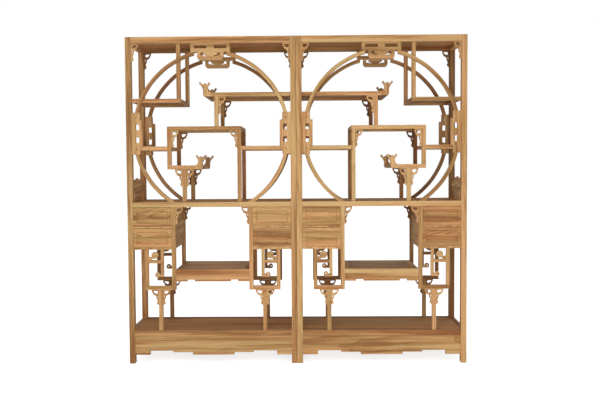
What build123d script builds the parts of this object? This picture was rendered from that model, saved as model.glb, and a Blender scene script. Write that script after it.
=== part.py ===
from build123d import *
import os

# Pair of moon-gate display cabinets in pale elm, each the mirror image of the other.
#
# Each cabinet is an open rack of framed shelves at broken levels. A moon ring of two half circles,
# cut off by the middle shelf, stands at its front and again at its back, held by pierced fretwork.
# Below the middle shelf hang two cases of two drawers, on pierced frets with single legs.
#
# Frame: X across both cabinets with the seam between them at 0, Y to the back with the middle
# of the depth at 0, Z up from the floor. Everything is drawn for the left cabinet, whose outer
# side is at low X, and mirrored for the right one. Millimetres.

# ---- The cabinet -----------------------------------------------------------------------------
unit_width = 1035
unit_depth = 350
unit_height = 2000
seam_gap = 0.6  # between the two cabinets
post = 34  # corner posts, square
foot_chamfer = 3

# ---- Joinery ---------------------------------------------------------------------------------
tenon_thick = 10
tenon_shoulder = 6  # left above and below a rail's tenon
mortise_wall = 1  # between two mortises that meet in one post
stub_tenon = 8  # length of the tenons on the slender uprights
stub_width = 12
groove_depth = 6
tongue_thick = 4

# ---- Main frames: height of the upper face, height of the rail -------------------------------
top_rail = 40
top_panel_drop = 2  # the roof panel lies a little below the rails
main_panel = 12
middle_top = 997
middle_rail = 31
base_top = 207
base_rail = 36

# ---- Aprons under the bottom shelf: depth below the rail, half length of each step -----------
apron_thick = 18
apron_setback = 5
apron_depth = 92
apron_step_depth = 102
apron_step_half = 249
apron_lug_depth = 117
apron_lug_half = 128
apron_corner_lug = 92
apron_side_step_half = 70
apron_side_lug_half = 42
apron_side_corner_lug = 40

# ---- Slender shelves and their uprights ------------------------------------------------------
shelf_thick = 24
shelf_setback = 14
shelf_border = 36
shelf_panel = 10
upright = 24
# Rise of each upper face, over the middle shelf for the first three and over the table for two.
small_rise = 224
bridge_rise = 341
table_rise = 462
hanging_rise = 169
scroll_rise = 205
# Near side of each upright, measured from the cabinet's outer side.
table_leg_at = 246
hanger_at = 308
pedestal_at = 337
prop_at = 537
table_far_leg_at = 675
# How far two boards run on past the upright that carries them.
small_overhang = 95
scroll_overhang = 61

# ---- Moon rings ------------------------------------------------------------------------------
ring_shift = 32  # the centre of each half lies this far beyond the middle of the cabinet
ring_side_gap = 4.5  # from the corner posts to the circle of each half
ring_drop = 33  # from the top rail down to those circles
ring_band = 22
ring_thick = 20
ring_inset = 3  # from the front of the posts

# ---- Fretwork over the rings -----------------------------------------------------------------
top_fret_width = 239
top_fret_height = 53
top_fret_end = 20  # end walls, which run on down to the ring
top_slot_width = 77
top_slot_height = 19
top_slot_below = 12  # from the rail to the slots
top_slot_apart = 42
top_box_width = 165
top_box_height = 49
top_box_wall = 18
top_box_floor = 13
top_box_ceiling = 7
top_box_corner = 12
pendant_width = 76
pendant_lobe = 9
pendant_waist = 50
pendant_slope = 60

# ---- Fretwork beside the rings ---------------------------------------------------------------
side_fret_height = 255
side_fret_width = 50
side_step_height = 160
side_step_width = 16
side_window_width = 23
side_window_height = 37
side_window_from_post = 22
side_window_apart = 40

# ---- Corner brackets -------------------------------------------------------------------------
bracket_width = 44
bracket_height = 108
leg_bracket_height = 96
bracket_thick = 10
bracket_eye_radius = 9

# ---- Scroll heads on the free ends of two shelves --------------------------------------------
head_width = 50
head_height = 56
head_thick = 20

# ---- Drawer cases ----------------------------------------------------------------------------
case_width = 258  # from the corner post to the free side of the stile
case_height = 260
case_setback = 2
case_side = 16
case_back = 8
case_back_inset = 6
case_divider = 10
case_floor = 14
stile = 24

# ---- Drawers ---------------------------------------------------------------------------------
drawer_side_gap = 1
drawer_top_gap = 1.5
drawer_running_gap = 0.3
drawer_back_gap = 14
drawer_front = 18
drawer_side = 10
drawer_floor = 6
drawer_floor_lift = 6
drawer_side_drop = 14  # the sides stop this far below the top of the front
drawer_groove = 4
front_border = 20
front_recess = 4
front_field_margin = 7
front_field_rise = 2

# ---- Fret stands under the drawer cases ------------------------------------------------------
stand_width = 190
stand_height = 249
stand_bar = 24
stand_post = 22
stand_thick = 18
hook_bay = 75  # clear width between the outer post and the hook
hook_bar = 18
hook_length = 171
hook_reach = 36
hook_tip_radius = 13
cross_bar_drop = 66  # below the case
cross_bar = 19
cloud_radius = 19
cloud_drop = 30
cloud_reach = 37

# ---- Lower shelf between the stands ----------------------------------------------------------
lower_drop = 123  # below the cases
lower_rail = 28
lower_apron_thick = 14
lower_apron_depth = 36
lower_lug_depth = 47
lower_lug_half = 111
lower_end_lug = 70

# ---- Gallery at the outer side of the middle shelf -------------------------------------------
gallery_thick = 12
gallery_height = 143
gallery_ear = 8  # how much lower the crest's ends and its dips lie than its middle
gallery_dip = 12
gallery_shoulder = 110
gallery_window_height = 71
gallery_panel_width = 145
gallery_eye_radius = 11

# ---- Places worked out from the sizes above --------------------------------------------------
outer_x = -(seam_gap / 2 + unit_width)
seam_x = -seam_gap / 2
centre_x = (outer_x + seam_x) / 2
centre_plane = Plane.YZ.offset(centre_x)  # each cabinet's own middle
front_y = -unit_depth / 2
post_y = front_y + post / 2
bay_x = (outer_x + post, seam_x - post)
bay_y = (front_y + post, -front_y - post)
tenon_depth = (post - tenon_thick) / 2 - mortise_wall

shelf_y = (front_y + shelf_setback, -front_y - shelf_setback)
upright_y = (shelf_y[0], shelf_y[0] + upright)
upright_mid_y = shelf_y[0] + upright / 2
small_top = middle_top + small_rise
bridge_top = middle_top + bridge_rise
table_top = middle_top + table_rise
hanging_top = table_top + hanging_rise
scroll_top = table_top + scroll_rise
small_end_at = pedestal_at + upright + small_overhang
scroll_end_at = prop_at - scroll_overhang

ring_radius = (bay_x[1] - bay_x[0]) / 2 + ring_shift - ring_side_gap
ring_centre_height = unit_height - top_rail - ring_drop - ring_radius
ring_mid_y = front_y + ring_inset + ring_thick / 2

case_top = middle_top - middle_rail
case_bottom = case_top - case_height
stand_bottom = case_bottom - stand_height
lower_top = case_bottom - lower_drop
opening_height = (case_height - case_floor - case_divider) / 2
stile_x = (bay_x[0] + case_width - stile, bay_x[0] + case_width)
stile_y = (front_y + case_setback, front_y + case_setback + stile)
stile_mid_y = stile_y[0] + stile / 2
case_x = (bay_x[0], stile_x[0])
case_back_y = (-stile_y[0] - case_back_inset - case_back, -stile_y[0] - case_back_inset)


def across(offset):
    """X of a place given as its distance from the outer side of the left cabinet."""
    return outer_x + offset


def about(middle, size):
    """The (low, high) pair of a given size around a middle."""
    return (middle - size / 2, middle + size / 2)


def board(x, y, z, mode=Mode.ADD):
    """Squared timber between three (low, high) pairs, in the piece being built."""
    with Locations(((x[0] + x[1]) / 2, (y[0] + y[1]) / 2, (z[0] + z[1]) / 2)):
        Box(x[1] - x[0], y[1] - y[0], z[1] - z[0], mode=mode)


def widened(pair, by):
    """A (low, high) pair moved outwards at both ends."""
    return (pair[0] - by, pair[1] + by)


def facing_front(x, y, z, way=1):
    """Plane for a flat piece seen from the front, drawn to the right (1) or to the left (-1)."""
    return Plane(origin=(x, y, z), x_dir=(way, 0, 0), z_dir=(0, -way, 0))


def facing_side(x, z):
    """Plane for a flat piece that runs from front to back, drawn about the middle of the depth."""
    return Plane(origin=(x, 0, z), x_dir=(0, 1, 0), z_dir=(1, 0, 0))


def mortise(piece, *tenoned):
    """A piece with the sockets of the given tenoned pieces cut out of it."""
    with BuildPart() as cut:
        add(piece.part)
        for other in tenoned:
            add(other.part, mode=Mode.SUBTRACT)
    return cut


def write_pair(name, *pieces, swap_sides=False):
    """Write a node of the left cabinet and its mirror image, touching pieces kept separate.

    With swap_sides the pieces are first mirrored about the middle of their own cabinet.
    """
    left = Compound(children=[solid for piece in pieces for solid in piece.part.solids()])
    if swap_sides:
        left = mirror(left, about=centre_plane)
    for side, node in (("left", left), ("right", mirror(left, about=Plane.YZ))):
        node.label = f"{side}_{name}"
        export_step(node, f"parts/{node.label}.step")


os.makedirs("parts", exist_ok=True)


# ==== Main frames: two long rails, two side rails and a floating panel each =====================
def main_panel_piece(panel_top):
    """Floating panel between the rails, its tongues cut back at the corner posts."""
    floor = panel_top - main_panel
    with BuildPart() as panel:
        board(bay_x, bay_y, (floor, panel_top))
        board(widened(bay_x, groove_depth), bay_y, (floor, floor + tongue_thick))
        board(bay_x, widened(bay_y, groove_depth), (floor, floor + tongue_thick))
    return panel


def main_long_rails(rail_z, panel):
    """Front and back rails, tenoned into the corner posts and grooved for their panel."""
    tenon_z = (rail_z[0] + tenon_shoulder, rail_z[1] - tenon_shoulder)
    with BuildPart() as rails:
        board(bay_x, (front_y, bay_y[0]), rail_z)
        board((bay_x[0] - tenon_depth, bay_x[1] + tenon_depth), about(post_y, tenon_thick), tenon_z)
        mirror(about=Plane.XZ)
        add(panel.part, mode=Mode.SUBTRACT)
    return rails


def main_side_rails(rail_z, panel):
    """Rails from front to back, at the outer side and at the seam."""
    tenon_z = (rail_z[0] + tenon_shoulder, rail_z[1] - tenon_shoulder)
    with BuildPart() as rails:
        for side_x, middle in (
            ((outer_x, bay_x[0]), outer_x + post / 2),
            ((bay_x[1], seam_x), seam_x - post / 2),
        ):
            board(side_x, bay_y, rail_z)
            board(about(middle, tenon_thick), (bay_y[0] - tenon_depth, bay_y[1] + tenon_depth), tenon_z)
        add(panel.part, mode=Mode.SUBTRACT)
    return rails


top_panel = main_panel_piece(unit_height - top_panel_drop)
top_long = main_long_rails((unit_height - top_rail, unit_height), top_panel)
top_sides = main_side_rails((unit_height - top_rail, unit_height), top_panel)

middle_panel = main_panel_piece(middle_top)
middle_long = main_long_rails((case_top, middle_top), middle_panel)
middle_sides = main_side_rails((case_top, middle_top), middle_panel)

base_panel = main_panel_piece(base_top)
base_long = main_long_rails((base_top - base_rail, base_top), base_panel)
base_sides = main_side_rails((base_top - base_rail, base_top), base_panel)


# ==== Slender shelves ===========================================================================
def slender_panel(x, y, top):
    """Floating panel with a tongue on all four edges, flush with the top of its frame."""
    floor = top - shelf_panel
    with BuildPart() as panel:
        board(x, y, (floor, top))
        board(widened(x, groove_depth), widened(y, groove_depth), (floor, floor + tongue_thick))
    return panel


def shelf_board(x, top, left_tenon=False, right_tenon=False):
    """Frame and panel of a slender shelf, tenoned into the corner posts where it meets them."""
    z = (top - shelf_thick, top)
    inner_x = widened(x, -shelf_border)
    inner_y = widened(shelf_y, -shelf_border)
    panel = slender_panel(inner_x, inner_y, top)
    with BuildPart() as frame:
        board(x, shelf_y, z)
        board(inner_x, inner_y, z, mode=Mode.SUBTRACT)
        add(panel.part, mode=Mode.SUBTRACT)
        tenon_y = about((shelf_y[0] + bay_y[0]) / 2, tenon_thick)
        tenon_z = about(top - shelf_thick / 2, tenon_thick)
        for wanted, tenon_x in (
            (left_tenon, (x[0] - tenon_depth, x[0])),
            (right_tenon, (x[1], x[1] + tenon_depth)),
        ):
            if wanted:
                board(tenon_x, tenon_y, tenon_z)
                board(tenon_x, (-tenon_y[1], -tenon_y[0]), tenon_z)
    return frame, panel


def upright_pair(offset, z):
    """A front and a back upright, each with a stub tenon at its foot."""
    middle = across(offset) + upright / 2
    with BuildPart() as uprights:
        board(about(middle, upright), upright_y, z)
        board(
            about(middle, stub_width),
            about(upright_mid_y, stub_width),
            (z[0] - stub_tenon, z[0]),
        )
        mirror(about=Plane.XZ)
    return uprights


hangers = upright_pair(hanger_at, (hanging_top, unit_height - top_rail))
props = upright_pair(prop_at, (table_top, scroll_top - shelf_thick))
near_legs = upright_pair(table_leg_at, (small_top, table_top - shelf_thick))
far_legs = upright_pair(table_far_leg_at, (middle_top, table_top - shelf_thick))
pedestals = upright_pair(pedestal_at, (middle_top, small_top - shelf_thick))

hanging_frame, hanging_panel = shelf_board(
    (bay_x[0], across(hanger_at + upright)), hanging_top, left_tenon=True
)
scroll_frame, scroll_panel = shelf_board(
    (across(scroll_end_at), bay_x[1]), scroll_top, right_tenon=True
)
table_frame, table_panel = shelf_board(
    (across(table_leg_at), across(table_far_leg_at + upright)), table_top
)
small_frame, small_panel = shelf_board((across(table_leg_at), across(small_end_at)), small_top)
outer_bridge_frame, outer_bridge_panel = shelf_board(
    (bay_x[0], across(table_leg_at)), bridge_top, left_tenon=True
)
inner_bridge_frame, inner_bridge_panel = shelf_board(
    (across(table_far_leg_at + upright), bay_x[1]), bridge_top, right_tenon=True
)


middle_long = mortise(middle_long, far_legs, pedestals)
hanging_frame = mortise(hanging_frame, hangers)
table_frame = mortise(table_frame, props)
small_frame = mortise(small_frame, near_legs)

# ==== Aprons under the bottom shelf: stepped, deepest at the middle and at the corners ==========
def stepped_apron(plane, half, lug_half, step_half, corner_lug):
    """Apron hung from the origin of its plane, in the piece being built."""
    with BuildSketch(plane) as outline:
        with BuildLine():
            Polyline(
                (0, 0),
                (half, 0),
                (half, -apron_lug_depth),
                (half - corner_lug, -apron_lug_depth),
                (half - corner_lug, -apron_depth),
                (step_half, -apron_depth),
                (step_half, -apron_step_depth),
                (lug_half, -apron_step_depth),
                (lug_half, -apron_lug_depth),
                (0, -apron_lug_depth),
                close=True,
            )
        make_face()
        mirror(about=Plane.YZ)
    extrude(outline.sketch, amount=apron_thick / 2, both=True)


apron_top = base_top - base_rail
apron_mid = apron_setback + apron_thick / 2  # from the face of the cabinet

with BuildPart() as long_aprons:
    stepped_apron(
        facing_front(centre_x, front_y + apron_mid, apron_top),
        (bay_x[1] - bay_x[0]) / 2,
        apron_lug_half,
        apron_step_half,
        apron_corner_lug,
    )
    mirror(about=Plane.XZ)

with BuildPart() as side_aprons:
    for x in (outer_x + apron_mid, seam_x - apron_mid):
        stepped_apron(
            facing_side(x, apron_top),
            bay_y[1],
            apron_side_lug_half,
            apron_side_step_half,
            apron_side_corner_lug,
        )

# ==== Scroll heads: on the outer end of the scroll shelf and the inner end of the small shelf ===
def scroll_head(x, z, way):
    """Head with two flared tips on a board's end at (x, z), the board lying to the given way."""
    with BuildSketch(facing_front(x, upright_mid_y, z, way)) as outline:
        with BuildLine():
            Polyline(
                (0, 0),
                (0.52 * head_width, 0),
                (0.44 * head_width, 0.42 * head_height),
                (0.58 * head_width, 0.7 * head_height),
                (0.52 * head_width, head_height),
                (0.3 * head_width, 0.76 * head_height),
                (-0.04 * head_width, 0.68 * head_height),
                (-0.26 * head_width, head_height),
                (-0.42 * head_width, 0.94 * head_height),
                (-0.3 * head_width, 0.6 * head_height),
                (-0.04 * head_width, 0.3 * head_height),
                close=True,
            )
        make_face()
    extrude(outline.sketch, amount=head_thick / 2, both=True)


with BuildPart() as scroll_heads:
    scroll_head(across(scroll_end_at), scroll_top, 1)
    scroll_head(across(small_end_at), small_top, -1)
    mirror(about=Plane.XZ)

# ==== Moon rings: two half circles cut off by the middle shelf and broken at three fretworks ====
slender_pieces = (
    hangers,
    props,
    near_legs,
    far_legs,
    pedestals,
    hanging_frame,
    scroll_frame,
    table_frame,
    small_frame,
    outer_bridge_frame,
    inner_bridge_frame,
    scroll_heads,
)


def lap_round_shelves():
    """Cut whatever slender piece crosses the part being built out of it."""
    for piece in slender_pieces:
        add(piece.part, mode=Mode.SUBTRACT)


with BuildPart() as front_ring:
    with BuildSketch(facing_front(centre_x, ring_mid_y, ring_centre_height)):
        with Locations((ring_shift, 0)):
            Circle(ring_radius)
            Circle(ring_radius - ring_band, mode=Mode.SUBTRACT)
        with Locations((top_fret_end - top_fret_width / 2, 0)):
            Rectangle(
                2 * ring_radius,
                2 * ring_radius,
                align=(Align.MIN, Align.CENTER),
                mode=Mode.SUBTRACT,
            )
        Rectangle(2 * ring_radius, side_fret_height, mode=Mode.SUBTRACT)
        with Locations((0, middle_top - ring_centre_height)):
            Rectangle(
                2 * ring_radius,
                ring_radius,
                align=(Align.CENTER, Align.MAX),
                mode=Mode.SUBTRACT,
            )
        mirror(about=Plane.YZ)
    extrude(amount=ring_thick / 2, both=True)
    lap_round_shelves()

with BuildPart() as back_ring:
    add(mirror(front_ring.part, about=Plane.XZ))

# ==== Fretwork over the rings: a slotted tier under the rail and a box with a pendant ===========
with BuildPart() as top_fretworks:
    with BuildSketch(facing_front(centre_x, ring_mid_y, unit_height - top_rail)):
        with GridLocations(top_fret_width - top_fret_end, 0, 2, 1):
            Rectangle(top_fret_end, ring_drop + 1.5 * ring_band, align=(Align.CENTER, Align.MAX))
        Rectangle(top_fret_width, top_fret_height, align=(Align.CENTER, Align.MAX))
        with Locations((0, -top_slot_below - top_slot_height / 2)):
            with GridLocations(top_slot_width + top_slot_apart, 0, 2, 1):
                Rectangle(top_slot_width, top_slot_height, mode=Mode.SUBTRACT)
        with Locations((0, -top_fret_height)):
            Rectangle(
                top_box_width,
                top_box_height - top_box_corner,
                align=(Align.CENTER, Align.MAX),
            )
            Rectangle(
                top_box_width - 2 * top_box_corner,
                top_box_height,
                align=(Align.CENTER, Align.MAX),
            )
        with Locations((0, -top_fret_height - top_box_ceiling)):
            Rectangle(
                top_box_width - 2 * top_box_wall,
                top_box_height - top_box_ceiling - top_box_floor,
                align=(Align.CENTER, Align.MAX),
                mode=Mode.SUBTRACT,
            )
        with Locations((0, -top_fret_height - top_box_ceiling)):
            Rectangle(pendant_width, pendant_lobe, align=(Align.CENTER, Align.MAX))
            Trapezoid(
                pendant_waist,
                top_box_height - top_box_ceiling - top_box_floor,
                pendant_slope,
                rotation=180,
                align=(Align.CENTER, Align.MIN),
            )
    extrude(amount=ring_thick / 2, both=True)
    add(front_ring.part, mode=Mode.SUBTRACT)
    lap_round_shelves()
    mirror(about=Plane.XZ)

# ==== Fretwork beside the rings: a pierced board on each post with a narrower step ==============
with BuildPart() as side_fretworks:
    with BuildSketch(facing_front(bay_x[0], ring_mid_y, ring_centre_height)):
        Rectangle(side_fret_width, side_fret_height, align=(Align.MIN, Align.CENTER))
        Rectangle(
            side_fret_width + side_step_width,
            side_step_height,
            align=(Align.MIN, Align.CENTER),
        )
        with Locations((side_window_from_post + side_window_width / 2, 0)):
            with GridLocations(0, side_window_apart + side_window_height, 1, 2):
                Rectangle(side_window_width, side_window_height, mode=Mode.SUBTRACT)
    extrude(amount=ring_thick / 2, both=True)
    mirror(about=centre_plane)
    lap_round_shelves()
    mirror(about=Plane.XZ)

# ==== Drawer case at the outer side, hung between the corner posts and two long stiles ==========
with BuildPart() as case_sides:
    for panel_x, panel_y in (
        ((case_x[0] - case_side, case_x[0]), bay_y),
        ((case_x[1], case_x[1] + case_side), (stile_y[1], -stile_y[1])),
    ):
        board(panel_x, panel_y, (case_bottom, case_top))
        board(
            about(sum(panel_x) / 2, groove_depth),
            widened(panel_y, groove_depth),
            (case_bottom, case_top),
        )

with BuildPart() as case_back_panel:
    board(widened(case_x, groove_depth), case_back_y, (case_bottom, case_top))

divider_bottom = case_bottom + case_floor + opening_height

with BuildPart() as case_boards:
    for z in ((case_bottom, case_bottom + case_floor), (divider_bottom, divider_bottom + case_divider)):
        board(case_x, (stile_y[0], case_back_y[0]), z)

# ==== Fret stand under the case: an open frame with a hook and a cloud, on a single leg =========
stand_x = (stile_x[1] - stand_width, case_x[1])
stand_mid_x = stile_x[1] - stand_width / 2
hook_near_x = stand_x[0] + stand_post + hook_bay
hook_x = (hook_near_x, hook_near_x + hook_bar)

stand_y = about(stile_mid_y, stand_thick)
hook_z = (case_bottom - hook_length, case_bottom - hook_length + hook_bar)
cross_z = (case_bottom - cross_bar_drop - cross_bar, case_bottom - cross_bar_drop)

with BuildPart() as stand_bars:
    board(stand_x, stand_y, (stand_bottom, stand_bottom + stand_bar))
    board(
        (stand_x[1], stand_x[1] + groove_depth),
        about(stile_mid_y, tenon_thick),
        (stand_bottom + tenon_shoulder, stand_bottom + stand_bar - tenon_shoulder),
    )
    board((stand_x[0] + stand_post, hook_x[0]), stand_y, cross_z)
    mirror(about=Plane.XZ)

with BuildPart() as stand_posts:
    board(
        (stand_x[0], stand_x[0] + stand_post),
        stand_y,
        (stand_bottom + stand_bar, case_bottom),
    )
    board(hook_x, stand_y, (hook_z[1], case_bottom))
    mirror(about=Plane.XZ)

with BuildPart() as stand_scrolls:
    board((hook_x[0] - hook_reach + hook_tip_radius, hook_x[1]), stand_y, hook_z)
    with BuildSketch(facing_front(hook_x[0], stile_mid_y, case_bottom)):
        with Locations((hook_tip_radius - hook_reach, hook_tip_radius - hook_length)):
            RegularPolygon(hook_tip_radius, 6)
        with Locations((-cloud_reach, -cloud_drop)):
            RegularPolygon(cloud_radius, 8)
            Rectangle(cloud_reach, cloud_radius / 2, align=(Align.MIN, Align.CENTER))
    extrude(amount=stand_thick / 2, both=True)
    mirror(about=Plane.XZ)

with BuildPart() as stand_legs:
    board(about(stand_mid_x, stile), stile_y, (base_top, stand_bottom))
    board(
        about(stand_mid_x, stub_width),
        about(stile_mid_y, stub_width),
        (base_top - stub_tenon, base_top),
    )
    mirror(about=Plane.XZ)

# ==== Lower shelf between the stiles of the two cases, with its stepped aprons ==================
lower_x = (stile_x[1], 2 * centre_x - stile_x[1])
lower_y = (stile_y[0], -stile_y[0])
lower_inner_x = widened(lower_x, -shelf_border)
lower_inner_y = widened(lower_y, -shelf_border)
lower_panel = slender_panel(lower_inner_x, lower_inner_y, lower_top)

with BuildPart() as lower_frame:
    lower_z = (lower_top - lower_rail, lower_top)
    board(lower_x, lower_y, lower_z)
    board(lower_inner_x, lower_inner_y, lower_z, mode=Mode.SUBTRACT)
    board(
        widened(lower_x, stub_tenon),
        about(stile_mid_y, tenon_thick),
        about(lower_top - lower_rail / 2, tenon_thick),
    )
    mirror(about=Plane.XZ)
    add(lower_panel.part, mode=Mode.SUBTRACT)

with BuildPart() as lower_aprons:
    half = (lower_x[1] - lower_x[0]) / 2
    with BuildSketch(facing_front(centre_x, stile_mid_y, lower_top - lower_rail)):
        with BuildLine():
            Polyline(
                (0, 0),
                (half, 0),
                (half, -lower_lug_depth),
                (half - lower_end_lug, -lower_lug_depth),
                (half - lower_end_lug, -lower_apron_depth),
                (lower_lug_half, -lower_apron_depth),
                (lower_lug_half, -lower_lug_depth),
                (0, -lower_lug_depth),
                close=True,
            )
        make_face()
        mirror(about=Plane.YZ)
    extrude(amount=lower_apron_thick / 2, both=True)
    mirror(about=Plane.XZ)

# ==== Gallery at the outer side of the middle shelf =============================================
with BuildPart() as gallery:
    with BuildSketch(facing_side(outer_x + post / 2, middle_top)):
        with BuildLine():
            Polyline(
                (0, 0),
                (gallery_panel_width / 2, 0),
                (gallery_panel_width / 2, gallery_window_height),
                (bay_y[1] + groove_depth, gallery_window_height),
                (bay_y[1] + groove_depth, gallery_shoulder),
                (gallery_panel_width / 2, gallery_shoulder),
                (0.4 * gallery_panel_width, gallery_height - gallery_ear),
                (0.2 * gallery_panel_width, gallery_height - gallery_dip),
                (0.12 * gallery_panel_width, gallery_height),
                (0, gallery_height),
                close=True,
            )
        make_face()
        mirror(about=Plane.YZ)
        with Locations((0, gallery_window_height)):
            RegularPolygon(gallery_eye_radius, 6, mode=Mode.SUBTRACT)
    extrude(amount=gallery_thick / 2, both=True)

# ==== Corner brackets: a hooked upper arm, a pierced corner and a tapering lower arm ============
def bracket(x, y, z, way, height=bracket_height):
    """Bracket with its square corner at (x, y, z), reaching left (-1) or right (1) and down."""
    with BuildSketch(facing_front(x, y, z, way)) as outline:
        with BuildLine():
            Polyline(
                (0, 0),
                (bracket_width, 0),
                (0.92 * bracket_width, -0.2 * height),
                (0.4 * bracket_width, -0.38 * height),
                (0.2 * bracket_width, -0.62 * height),
                (0.32 * bracket_width, -0.88 * height),
                (0.16 * bracket_width, -height),
                (0, -height),
                close=True,
            )
        make_face()
        with Locations((0.45 * bracket_width, -0.17 * height)):
            RegularPolygon(bracket_eye_radius, 4, rotation=45, mode=Mode.SUBTRACT)
    extrude(outline.sketch, amount=bracket_thick / 2, both=True)


table_under = table_top - shelf_thick
small_under = small_top - shelf_thick

with BuildPart() as brackets:
    # Under the top rail, in both corners.
    bracket(bay_x[0], ring_mid_y, unit_height - top_rail, 1)
    bracket(bay_x[1], ring_mid_y, unit_height - top_rail, -1)
    # Under the scroll shelf and inside the table.
    bracket(across(prop_at + upright), upright_mid_y, scroll_top - shelf_thick, 1)
    bracket(across(table_leg_at + upright), upright_mid_y, table_under, 1)
    bracket(across(table_far_leg_at), upright_mid_y, table_under, -1)
    # On both sides of the small shelf's pedestal.
    bracket(across(pedestal_at), upright_mid_y, small_under, -1)
    bracket(across(pedestal_at + upright), upright_mid_y, small_under, 1)
    # Under the middle shelf, beside the drawer cases.
    bracket(stile_x[1], stile_mid_y, case_top, 1)
    bracket(2 * centre_x - stile_x[1], stile_mid_y, case_top, -1)
    # On both sides of the legs of the fret stands.
    for leg_x in (stand_mid_x, 2 * centre_x - stand_mid_x):
        bracket(leg_x - stile / 2, stile_mid_y, stand_bottom, -1, leg_bracket_height)
        bracket(leg_x + stile / 2, stile_mid_y, stand_bottom, 1, leg_bracket_height)
    lap_round_shelves()
    mirror(about=Plane.XZ)

# ==== Stiles and corner posts, cut for everything that is let into them =========================
with BuildPart() as stiles:
    board(stile_x, stile_y, (stand_bottom, case_top))
    board(
        about(sum(stile_x) / 2, stub_width),
        about(stile_mid_y, stub_width),
        (case_top, case_top + stub_tenon),
    )
    mirror(about=Plane.XZ)
    for piece in (case_sides, case_back_panel, stand_bars, lower_frame):
        add(piece.part, mode=Mode.SUBTRACT)

with BuildPart() as posts:
    with BuildSketch():
        with Locations((centre_x, 0)):
            with GridLocations(unit_width - post, unit_depth - post, 2, 2):
                Rectangle(post, post)
    extrude(amount=unit_height)
    chamfer(posts.faces().sort_by(Axis.Z)[:4].edges(), foot_chamfer)
    for piece in (case_sides, case_back_panel):
        add(piece.part, mode=Mode.SUBTRACT)
        add(mirror(piece.part, about=centre_plane), mode=Mode.SUBTRACT)
    for piece in (top_long, top_sides, middle_long, middle_sides, base_long, base_sides):
        add(piece.part, mode=Mode.SUBTRACT)
    for piece in (hanging_frame, scroll_frame, outer_bridge_frame, inner_bridge_frame):
        add(piece.part, mode=Mode.SUBTRACT)
    add(gallery.part, mode=Mode.SUBTRACT)

with BuildPart() as both_stands:
    add(stiles.part)
    add(stand_legs.part)
    mirror(about=centre_plane)

middle_long = mortise(middle_long, both_stands)
base_long = mortise(base_long, both_stands)


# ==== Drawers: the floor slides into grooves of the front and the sides, under the back =========
def write_drawer(level, z):
    """Write the outer and the inner drawer that run on a board whose upper face is at z."""
    x = widened(case_x, -drawer_side_gap)
    inner_x = widened(x, -drawer_side)
    low = z + drawer_running_gap
    front_z = (low, z + opening_height - drawer_top_gap)
    front_depth = (stile_y[0], stile_y[0] + drawer_front)
    box_y = (front_depth[1], case_back_y[0] - drawer_back_gap)
    box_top = front_z[1] - drawer_side_drop
    floor_z = (low + drawer_floor_lift, low + drawer_floor_lift + drawer_floor)

    with BuildPart() as floor:
        board(widened(inner_x, drawer_groove), (box_y[0] - drawer_groove, box_y[1]), floor_z)
    with BuildPart() as back:
        board(inner_x, (box_y[1] - drawer_side, box_y[1]), (floor_z[1], box_top))
    with BuildPart() as sides:
        for side_x in ((x[0], inner_x[0]), (inner_x[1], x[1])):
            board(side_x, box_y, (low, box_top))
        add(floor.part, mode=Mode.SUBTRACT)
    with BuildPart() as front:
        board(x, front_depth, front_z)
        field_x = widened(x, -front_border)
        field_z = widened(front_z, -front_border)
        recess_y = (front_depth[0], front_depth[0] + front_recess)
        board(field_x, recess_y, field_z, mode=Mode.SUBTRACT)
        board(
            widened(field_x, -front_field_margin),
            (recess_y[1] - front_field_rise, recess_y[1]),
            widened(field_z, -front_field_margin),
        )
        add(floor.part, mode=Mode.SUBTRACT)

    write_pair(f"outer_{level}_drawer", front, sides, back, floor)
    write_pair(f"inner_{level}_drawer", front, sides, back, floor, swap_sides=True)


# ==== Write every node ==========================================================================
write_pair("corner_posts", posts)
write_pair("top_frame", top_long, top_sides)
write_pair("top_panel", top_panel)
write_pair("middle_shelf_frame", middle_long, middle_sides)
write_pair("middle_shelf_panel", middle_panel)
write_pair("bottom_shelf_frame", base_long, base_sides)
write_pair("bottom_shelf_panel", base_panel)
write_pair("bottom_aprons", long_aprons, side_aprons)

write_pair("hanging_shelf", hanging_frame, hanging_panel, hangers)
write_pair("scroll_shelf", scroll_frame, scroll_panel, props)
write_pair("table_shelf", table_frame, table_panel, near_legs, far_legs)
write_pair("small_shelf", small_frame, small_panel, pedestals)
write_pair(
    "bridge_shelves",
    outer_bridge_frame,
    outer_bridge_panel,
    inner_bridge_frame,
    inner_bridge_panel,
)

write_pair("front_moon_ring", front_ring)
write_pair("back_moon_ring", back_ring)
write_pair("top_fretworks", top_fretworks)
write_pair("side_fretworks", side_fretworks)
write_pair("scroll_finials", scroll_heads)
write_pair("corner_brackets", brackets)
write_pair("side_gallery", gallery)

case_pieces = (stiles, case_sides, case_back_panel, case_boards)
write_pair("outer_drawer_case", *case_pieces)
write_pair("inner_drawer_case", *case_pieces, swap_sides=True)
stand_pieces = (stand_bars, stand_posts, stand_scrolls, stand_legs)
write_pair("outer_fret_stands", *stand_pieces)
write_pair("inner_fret_stands", *stand_pieces, swap_sides=True)
write_pair("lower_shelf", lower_frame, lower_panel, lower_aprons)

write_drawer("lower", case_bottom + case_floor)
write_drawer("upper", divider_bottom + case_divider)
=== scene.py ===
"""Pair of moon-gate display cabinets in pale elm: timber, sawn and carved work, studio and camera.

Lengths are metres. Only the outlines of sawn and carved pieces are drawn in millimetres, from a
point that the piece's class names. Every piece is made for the left cabinet and mirrored for the
right one, and the grain of the wood is drawn anew on each.
"""

import logging
import math
import random
from collections import Counter
from collections.abc import Callable, Iterable, Sequence
from dataclasses import dataclass
from enum import Enum

import bpy
from mathutils import Matrix, Vector


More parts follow.
